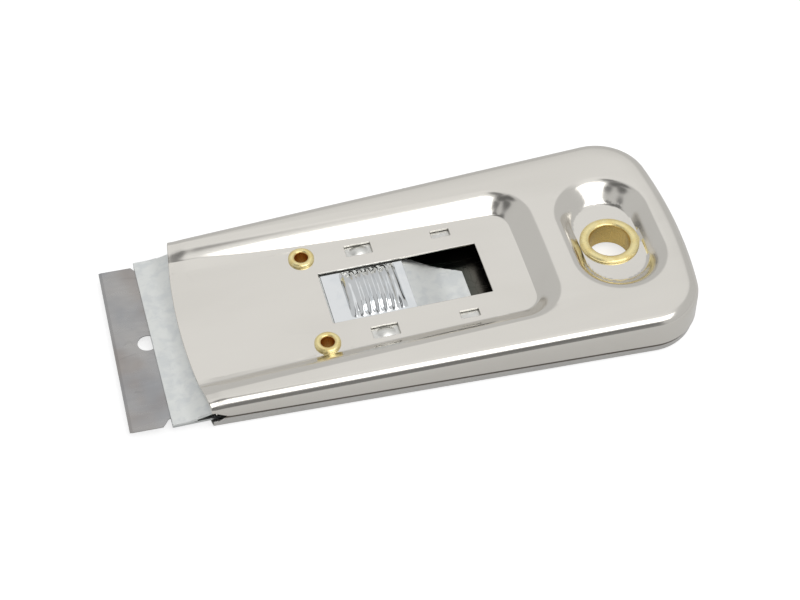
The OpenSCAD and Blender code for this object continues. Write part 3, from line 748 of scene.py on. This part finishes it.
def buildEyelet(name, x, y, boreR, wall, flangeR, seed):
    profile = eyeletProfile(boreR, wall, flangeR)
    turns = eyelets["turns"]
    rng = np.random.default_rng(seed)
    phase = rng.uniform(0, 2 * math.pi, 6)
    points = []
    for j in range(turns):
        a = 2 * math.pi * j / turns
        wobble = eyelets["dent"] * sum(math.sin((k + 3) * a + phase[k]) for k in range(6)) / 3
        for r, z in profile:
            rr = r + wobble * (z > shell["panelZ"]) * (r > boreR + 0.1) * (r < flangeR - 0.2)
            points.append((x + rr * math.cos(a), y + rr * math.sin(a), z))
    n = len(profile)
    faces = [(j * n + i, ((j + 1) % turns) * n + i, ((j + 1) % turns) * n + (i + 1) % n, j * n + (i + 1) % n)
             for j in range(turns) for i in range(n)]
    return addPiece(name, points, faces, 50)


frontX, frontY = windows["eyelet"][:2]
eyeletSpots = [("hangingEyelet", "hanging_eyelet", dimple["x"], 0, "big", 11),
               ("leftFrontEyelet", "left_front_eyelet", frontX, -frontY, "small", 12),
               ("rightFrontEyelet", "right_front_eyelet", frontX, frontY, "small", 13)]
for name, node, x, y, size, seed in eyeletSpots:
    s = dict(brass)
    centre = toRow([(x, y, 4)])[0]
    boreR = eyelets[size + "R"]
    # Painted shade: darker colour inside the eyelet's bore
    s["inner"] = {"centre": (float(centre[0]), float(centre[1]), 0.0), "color": eyelets[size + "BoreShade"],
                  "radius": ((boreR - 0.02) / 1000, (boreR + 0.28) / 1000)}
    materials[name] = metal(name, s)
    piece = buildEyelet(name, x, y, boreR, eyelets[size + "Wall"], eyelets[size + "Flange"], seed)
    dress(piece, name, node, "housing")
print("eyelets built")


# Clamp plate: sheet bent along a path, cut to its outline
clamp = {"x": 7.35, "width": 40.9, "t": 0.5, "lipZ": 1.87, "topZ": 4.0, "tailZ": 1.65, "taperX": 54.3,
         "tailX": 68.5,
         "tailHalf": 2.3, "neckHalf": 8.9, "wingHalf": 20.3, "wingEnd": 20.4, "rootHalf": 12.9,
         "root": (40.6, 43.0),
         "bevel": 0.07, "rampStart": 2.6, "rampRun": 8.6, "dropStart": 1.4, "dropRun": 9.6, "lipEnd": 4.65,
         "fine": 0.4, "coarse": 0.6, "columns": 11, "probe": 0.01}


def clampCentre(x):
    half = clamp["t"] / 2
    low, high, tail = clamp["lipZ"] + half, clamp["topZ"] - half, clamp["tailZ"] + half
    rise = smooth((x - clamp["x"] - clamp["rampStart"]) / clamp["rampRun"])
    fall = smooth((x - clamp["taperX"] - clamp["dropStart"]) / clamp["dropRun"])
    return low + (high - low) * rise + (tail - high) * fall


def clampHalf(x):
    if x < clamp["x"] + clamp["lipEnd"]:
        return clamp["width"] / 2
    if x < clamp["wingEnd"]:
        return clamp["wingHalf"]
    if x < clamp["taperX"]:
        return clamp["neckHalf"]
    f = (x - clamp["taperX"]) / (clamp["tailX"] - clamp["taperX"])
    return clamp["neckHalf"] + (clamp["tailHalf"] - clamp["neckHalf"]) * f


def fineSteps(a, b, step):
    return list(np.linspace(a, b, max(2, int(round((b - a) / step)) + 1)))


# One side of the sheet: only the far one tapers behind the grip
def clampSide(tail):
    lipEnd, neck = clamp["x"] + clamp["lipEnd"], clamp["neckHalf"]
    fine, coarse = clamp["fine"], clamp["coarse"]
    rootStart, rootEnd = clamp["root"]
    loop = [(x, clamp["width"] / 2) for x in fineSteps(clamp["x"], lipEnd, fine)]
    loop += [(x, clamp["wingHalf"]) for x in fineSteps(lipEnd + 0.05, clamp["wingEnd"], fine)]
    loop += [(clamp["wingEnd"], y) for y in np.linspace(clamp["wingHalf"] - fine, neck + 0.3, 8)]
    loop += [(x, neck) for x in fineSteps(clamp["wingEnd"], rootStart, coarse)]
    loop += [(rootStart, clamp["rootHalf"]), (rootEnd, clamp["rootHalf"])]
    loop += [(x, neck) for x in fineSteps(rootEnd, clamp["taperX"] - 0.1, coarse)]
    return loop + [(x, tail(x)) for x in fineSteps(clamp["taperX"], clamp["tailX"], fine)]


def nearHalf(x):
    return clampHalf(min(x, clamp["taperX"] - 0.01))


def clampOutline():
    return [(x, -y) for x, y in clampSide(nearHalf)] + list(reversed(clampSide(clampHalf)))


def buildClamp():
    loop = clampOutline()
    fine, probe = clamp["fine"], clamp["probe"]
    inner = [(x, y) for x in fineSteps(clamp["x"] + fine, clamp["tailX"] - fine, fine)
             for y in np.linspace(-nearHalf(x) + fine, clampHalf(x) - fine, clamp["columns"])]
    n = len(loop)
    coords = [Vector(p) for p in loop + inner]
    verts, _, tris, _, _, _ = delaunay_2d_cdt(coords, [(i, (i + 1) % n) for i in range(n)], [], 0, 1e-6)
    kept = [tuple(f) for f in tris if inLoop(sum((verts[i] for i in f), Vector((0, 0))) / len(f), loop)]
    flat = np.array([tuple(v) for v in verts])
    mid = clampCentre(flat[:, 0])
    tilt = (clampCentre(flat[:, 0] + probe) - clampCentre(flat[:, 0] - probe)) / (2 * probe)
    reach = clamp["t"] / 2 / np.sqrt(1 + tilt * tilt)
    faces, count = list(kept), len(flat)
    points = [np.column_stack([flat[:, 0] - s * tilt * reach, flat[:, 1], mid + s * reach]) for s in (1, -1)]
    faces += [tuple(count + i for i in reversed(f)) for f in kept]
    faces += [(i, (i + 1) % n, count + (i + 1) % n, count + i) for i in range(n)]
    piece = addPiece("clampPlate", np.vstack(points), faces)
    edge = piece.modifiers.new("edge", "BEVEL")
    edge.width = clamp["bevel"] / 1000
    edge.segments = 2
    edge.limit_method = "ANGLE"
    edge.angle_limit = math.radians(60)
    edge.use_clamp_overlap = False
    return applied(piece)


clampPlate = buildClamp()
dress(clampPlate, "plateZinc", "clamp_plate", "carriage")
print("clamp", len(clampPlate.data.polygons))


# Thumb grip: pillow over flat flanges; Geometry Nodes press the ribs into it
grip = {"x": (41.3, 57.3), "dome": (44.8, 55.7), "half": 6.0, "crown": 1.4, "height": 2.2, "ribs": 7,
        "ribDepth": 0.36,
        "sheet": 0.3, "z": 4.0, "rows": 200, "columns": 64, "archRound": 0.55, "sideRound": 2.2,
        "margin": 0.15,
        "ribFade": 4, "ribShare": (0.4, 0.6), "edgeR": 0.08, "midRise": 1.5, "leanShift": 0.07}


def gripPillow(x, y):
    u = (2 * x - grip["dome"][0] - grip["dome"][1]) / (grip["dome"][1] - grip["dome"][0])
    arch = np.where(u * u >= 1, 0, np.maximum(0, 1 - u * u) ** grip["archRound"])
    fall = (np.abs(y) - grip["crown"]) / (grip["half"] - grip["margin"] - grip["crown"])
    side = 1 - np.clip(fall, 0, 1)
    least, more = grip["ribShare"]
    ribs = arch * np.minimum(1, grip["ribFade"] * side) * (least + more * np.abs(y) / grip["half"])
    return arch * grip["height"] * (1 - (1 - side) ** grip["sideRound"]), ribs


def ribTree():
    tree = bpy.data.node_groups.new("pressedRibs", "GeometryNodeTree")
    tree.interface.new_socket(name="Geometry", in_out="INPUT", socket_type="NodeSocketGeometry")
    for label, value in (("Start", 0.0), ("Pitch", 0.0015), ("Depth", 0.0002)):
        socket = tree.interface.new_socket(name=label, in_out="INPUT", socket_type="NodeSocketFloat")
        socket.default_value = value
    tree.interface.new_socket(name="Finish", in_out="INPUT", socket_type="NodeSocketMaterial")
    tree.interface.new_socket(name="Geometry", in_out="OUTPUT", socket_type="NodeSocketGeometry")
    start, end = tree.nodes.new("NodeGroupInput"), tree.nodes.new("NodeGroupOutput")
    link = tree.links.new
    position = nodeOf(tree, "GeometryNodeInputPosition")
    split = nodeOf(tree, "ShaderNodeSeparateXYZ")
    link(position.outputs[0], split.inputs[0])
    along = mathOf(tree, "SUBTRACT", split.outputs["X"], start.outputs["Start"])
    count = mathOf(tree, "DIVIDE", along, start.outputs["Pitch"])
    turn = mathOf(tree, "MULTIPLY", count, values={1: 2 * math.pi})
    wave = mathOf(tree, "COSINE", turn)
    lifted = mathOf(tree, "ADD", wave, values={1: 1.0})
    share = nodeOf(tree, "GeometryNodeInputNamedAttribute", {"Name": "ribShare"}, data_type="FLOAT")
    depth = mathOf(tree, "MULTIPLY", lifted, start.outputs["Depth"])
    pressed = mathOf(tree, "MULTIPLY", depth, share.outputs["Attribute"])
    down = mathOf(tree, "MULTIPLY", pressed, values={1: -1.0})
    offset = nodeOf(tree, "ShaderNodeCombineXYZ")
    link(down, offset.inputs["Z"])
    move = nodeOf(tree, "GeometryNodeSetPosition")
    link(start.outputs["Geometry"], move.inputs["Geometry"])
    link(offset.outputs[0], move.inputs["Offset"])
    real = nodeOf(tree, "GeometryNodeRealizeInstances")
    link(move.outputs[0], real.inputs[0])
    finish = nodeOf(tree, "GeometryNodeSetMaterial")
    link(real.outputs[0], finish.inputs["Geometry"])
    link(start.outputs["Finish"], finish.inputs["Material"])
    link(finish.outputs[0], end.inputs[0])
    return tree


def buildGrip():
    xs = np.linspace(*grip["x"], grip["rows"] + 1)
    ys = np.linspace(-grip["half"], grip["half"], grip["columns"] + 1)
    gx, gy = np.meshgrid(xs, ys, indexing="ij")
    height, _ = gripPillow(gx, gy)
    points = np.column_stack([gx.ravel(), gy.ravel(), (grip["z"] + grip["sheet"] + height).ravel()])
    piece = sheetPiece("thumbGrip", points, gridFaces(len(xs), len(ys)), grip["sheet"], grip["edgeR"], 1, 60)
    flat = np.array([v.co for v in piece.data.vertices])
    _, share = gripPillow((flat[:, 0] * 1000 + place["midX"]) + grip["leanShift"], flat[:, 1] * 1000)
    shares = piece.data.attributes.new("ribShare", "FLOAT", "POINT")
    shares.data.foreach_set("value", share.ravel().astype(np.float32))
    tree = ribTree()
    press = piece.modifiers.new("ribs", "NODES")
    press.node_group = tree
    pitch = (grip["dome"][1] - grip["dome"][0]) / grip["ribs"]
    start = float(toRow([(grip["dome"][0], 0, grip["z"] + grip["midRise"])])[0][0])
    values = {"Start": start, "Pitch": pitch / 1000, "Depth": grip["ribDepth"] / 1000,
              "Finish": materials["gripChrome"]}
    for item in tree.interface.items_tree:
        if item.in_out == "INPUT" and item.name in values:
            press[item.identifier] = values[item.name]
    return applied(piece, 60)


thumbGrip = buildGrip()
dress(thumbGrip, "gripChrome", "thumb_grip", "carriage")
print("grip", len(thumbGrip.data.polygons))

springs = {"x": (40.8, 73.0), "half": 1.9, "z": 4.0, "t": 0.22, "bumpX": 49.95, "bump": (1.9, 1.3, 0.5),
           "bumpRound": 1.3, "steps": (162, 41), "edgeR": 0.05}


def buildSpring(name, side):
    xs = np.linspace(*springs["x"], springs["steps"][0])
    ys = np.linspace(-springs["half"], springs["half"], springs["steps"][1])
    gx, gy = np.meshgrid(xs, ys, indexing="ij")
    a, b, h = springs["bump"]
    reach = np.sqrt(((gx - springs["bumpX"]) / a) ** 2 + (gy / b) ** 2)
    z = springs["z"] + springs["t"] + h * np.maximum(1 - reach ** 2, 0) ** springs["bumpRound"]
    points = np.column_stack([gx.ravel(), gy.ravel() + side * windows["detentY"], z.ravel()])
    return sheetPiece(name, points, gridFaces(len(xs), len(ys)), springs["t"], springs["edgeR"])


for name, node, side in (("leftSpring", "left_detent_spring", -1), ("rightSpring", "right_detent_spring", 1)):
    dress(buildSpring(name, side), "springSteel", node, "carriage")
print("springs built")

blade = {"width": 39.8, "length": 19.0, "t": 0.2, "z": 1.65, "skew": -1.4, "hole": (6.45, 0.45, 1.85),
         "notchX": 6.2,
         "notchL": 1.2, "notchW": 1.6, "bevel": 0.6, "steps": 40, "holeSteps": 48, "sharpAngle": 6}


def skewed(x, y):
    a = math.radians(blade["skew"])
    return x * math.cos(a) - y * math.sin(a), x * math.sin(a) + y * math.cos(a)


def buildBlade():
    half, nx, nl, nw = blade["width"] / 2, blade["notchX"], blade["notchL"], blade["notchW"]
    hx, hy, hr = blade["hole"]
    steps, holeSteps = blade["steps"], blade["holeSteps"]
    ys = [half - 2 * half * j / steps for j in range(steps + 1)]
    edgeRow = [(0, y) for y in ys]
    shoulder = [(blade["bevel"], y) for y in ys]
    body = [(nx, -half), (nx + nl, -half + nw), (blade["length"], -half + nw), (blade["length"], half - nw),
            (nx + nl, half - nw), (nx, half)]
    loop = shoulder + body
    flat, flatF = flatFaces([loop, circleLoop(hx, hy, hr, holeSteps)])
    top, low = blade["z"] + blade["t"], blade["z"]
    points = [(x, y, top) for x, y in flat]
    count = len(points)
    points += [(x, y, low) for x, y in flat]
    faces = list(flatF) + [tuple(count + i for i in reversed(f)) for f in flatF]
    n = len(loop)
    for i in range(steps, n):
        j = (i + 1) % n
        faces.append((i, j, count + j, count + i))
    for i in range(holeSteps):
        j = (i + 1) % holeSteps
        faces.append((n + i, n + j, count + n + j, count + n + i))
    first = len(points)
    points += [(x, y, low + blade["t"] / 2) for x, y in edgeRow]
    for j in range(steps):
        faces.append((j, j + 1, first + j + 1, first + j))
        faces.append((count + j, count + j + 1, first + j + 1, first + j))
    faces.append((0, first, count))
    faces.append((steps, first + steps, count + steps))
    points = [(*skewed(x, y), z) for x, y, z in points]
    return addPiece("blade", points, faces, blade["sharpAngle"])


dress(buildBlade(), "bladeSteel", "blade", "carriage")
print("blade built")

for node, finish in (("carrier_plate", "carrierZinc"), ("carrier_rivets", "rivetZinc")):
    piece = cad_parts[node]
    piece.data.materials.clear()
    piece.data.materials.append(materials[finish])

# Floor that shows white behind the object and keeps its shadow
floorLook = {"size": 1.6, "color": 0.55, "lift": 0.7, "mirrorShare": 0.26, "depth": 0.0001}
floorMesh = bpy.data.meshes.new("floor")
h, low = floorLook["size"], -floorLook["depth"]
floorMesh.from_pydata([(-h, -h, low), (h, -h, low), (h, h, low), (-h, h, low)], [], [(0, 1, 2, 3)])
floor = bpy.data.objects.new("floor", floorMesh)
bpy.context.scene.collection.objects.link(floor)
paper = bpy.data.materials.new("paper")
paper.use_nodes = True
tree = paper.node_tree
tree.nodes.clear()
out = nodeOf(tree, "ShaderNodeOutputMaterial")
diffuse = nodeOf(tree, "ShaderNodeBsdfDiffuse", {"Color": (floorLook["color"],) * 3 + (1,)})
glow = nodeOf(tree, "ShaderNodeEmission", {"Color": (1, 1, 1, 1), "Strength": floorLook["lift"]})
rays = nodeOf(tree, "ShaderNodeLightPath")
some = nodeOf(tree, "ShaderNodeMath", {1: floorLook["mirrorShare"], 2: 0.0}, operation="MULTIPLY_ADD")
tree.links.new(rays.outputs["Is Glossy Ray"], some.inputs[0])
tree.links.new(rays.outputs["Is Camera Ray"], some.inputs[2])
lit = nodeOf(tree, "ShaderNodeMath", {1: floorLook["lift"]}, operation="MULTIPLY")
tree.links.new(some.outputs[0], lit.inputs[0])
tree.links.new(lit.outputs[0], glow.inputs["Strength"])
add = nodeOf(tree, "ShaderNodeAddShader")
tree.links.new(diffuse.outputs[0], add.inputs[0])
tree.links.new(glow.outputs[0], add.inputs[1])
tree.links.new(add.outputs[0], out.inputs[0])
floorMesh.materials.append(paper)

# Studio: a pale room, one soft box overhead and dark gaps that the polished steel picks up
room = {"base": 0.6,
        "lobes": [((0.12, 0.5, 0.857), 13.5, 25, 0.85), ((0.17, 0.02, 0.985), 8, 24, 0.93),
                  ((-0.1, 0.02, 0.99), 5.5, 10, 0.2), ((-0.31, -0.45, 0.84), 5, 10, 0.15),
                  ((-0.33, -0.15, 0.93), 6, 12, 0.15), ((-0.39, 0.08, 0.92), 4, 11, 0.15),
                  ((-0.6, -0.13, 0.79), 5, 12, 0.15), ((-0.8, -0.34, 0.48), 5, 14, 0.18),
                  ((0.1, -0.9, 0.42), 6, 16, 0.16), ((0.0, -1.0, 0.02), 8, 30, 0.2)],
        "box": {"towards": (0.23, -0.49, 0.84), "distance": 1.0, "size": (0.74, 0.63), "energy": 2.65}}
world = bpy.data.worlds.new("studio")
bpy.context.scene.world = world
world.use_nodes = True
tree = world.node_tree
tree.nodes.clear()
out = nodeOf(tree, "ShaderNodeOutputWorld")
light = nodeOf(tree, "ShaderNodeBackground", {"Color": (1, 1, 1, 1)})
coords = nodeOf(tree, "ShaderNodeTexCoord")
total = nodeOf(tree, "ShaderNodeValue")
total.outputs[0].default_value = room["base"]
total = total.outputs[0]
for direction, inner, outer, level in room["lobes"]:
    aim = tuple(Vector(direction).normalized())
    towards = nodeOf(tree, "ShaderNodeVectorMath", {1: aim}, operation="DOT_PRODUCT")
    tree.links.new(coords.outputs["Generated"], towards.inputs[0])
    lobe = nodeOf(tree, "ShaderNodeMapRange",
                  {"From Min": math.cos(math.radians(outer)), "From Max": math.cos(math.radians(inner))},
                  interpolation_type="SMOOTHSTEP")
    tree.links.new(towards.outputs["Value"], lobe.inputs["Value"])
    blended = nodeOf(tree, "ShaderNodeMix", {3: level}, data_type="FLOAT")
    tree.links.new(lobe.outputs["Result"], blended.inputs[0])
    tree.links.new(total, blended.inputs[2])
    total = blended.outputs[0]
rays = nodeOf(tree, "ShaderNodeLightPath")
shown = nodeOf(tree, "ShaderNodeMix", {3: 1.0}, data_type="FLOAT")
tree.links.new(rays.outputs["Is Camera Ray"], shown.inputs[0])
tree.links.new(total, shown.inputs[2])
tree.links.new(shown.outputs[0], light.inputs["Strength"])
tree.links.new(light.outputs[0], out.inputs[0])

box = room["box"]
lampData = bpy.data.lights.new("softBox", "AREA")
lampData.shape = "RECTANGLE"
lampData.size, lampData.size_y = box["size"]
lampData.energy = box["energy"]
lamp = bpy.data.objects.new("softBox", lampData)
bpy.context.scene.collection.objects.link(lamp)
lamp.location = Vector(box["towards"]).normalized() * box["distance"]
across = Vector((1, 0, 0))
away = lamp.location.normalized()
tall = away.cross(across).normalized()
lamp.rotation_euler = Matrix([tall.cross(away), tall, away]).transposed().to_euler()
print("stage built")
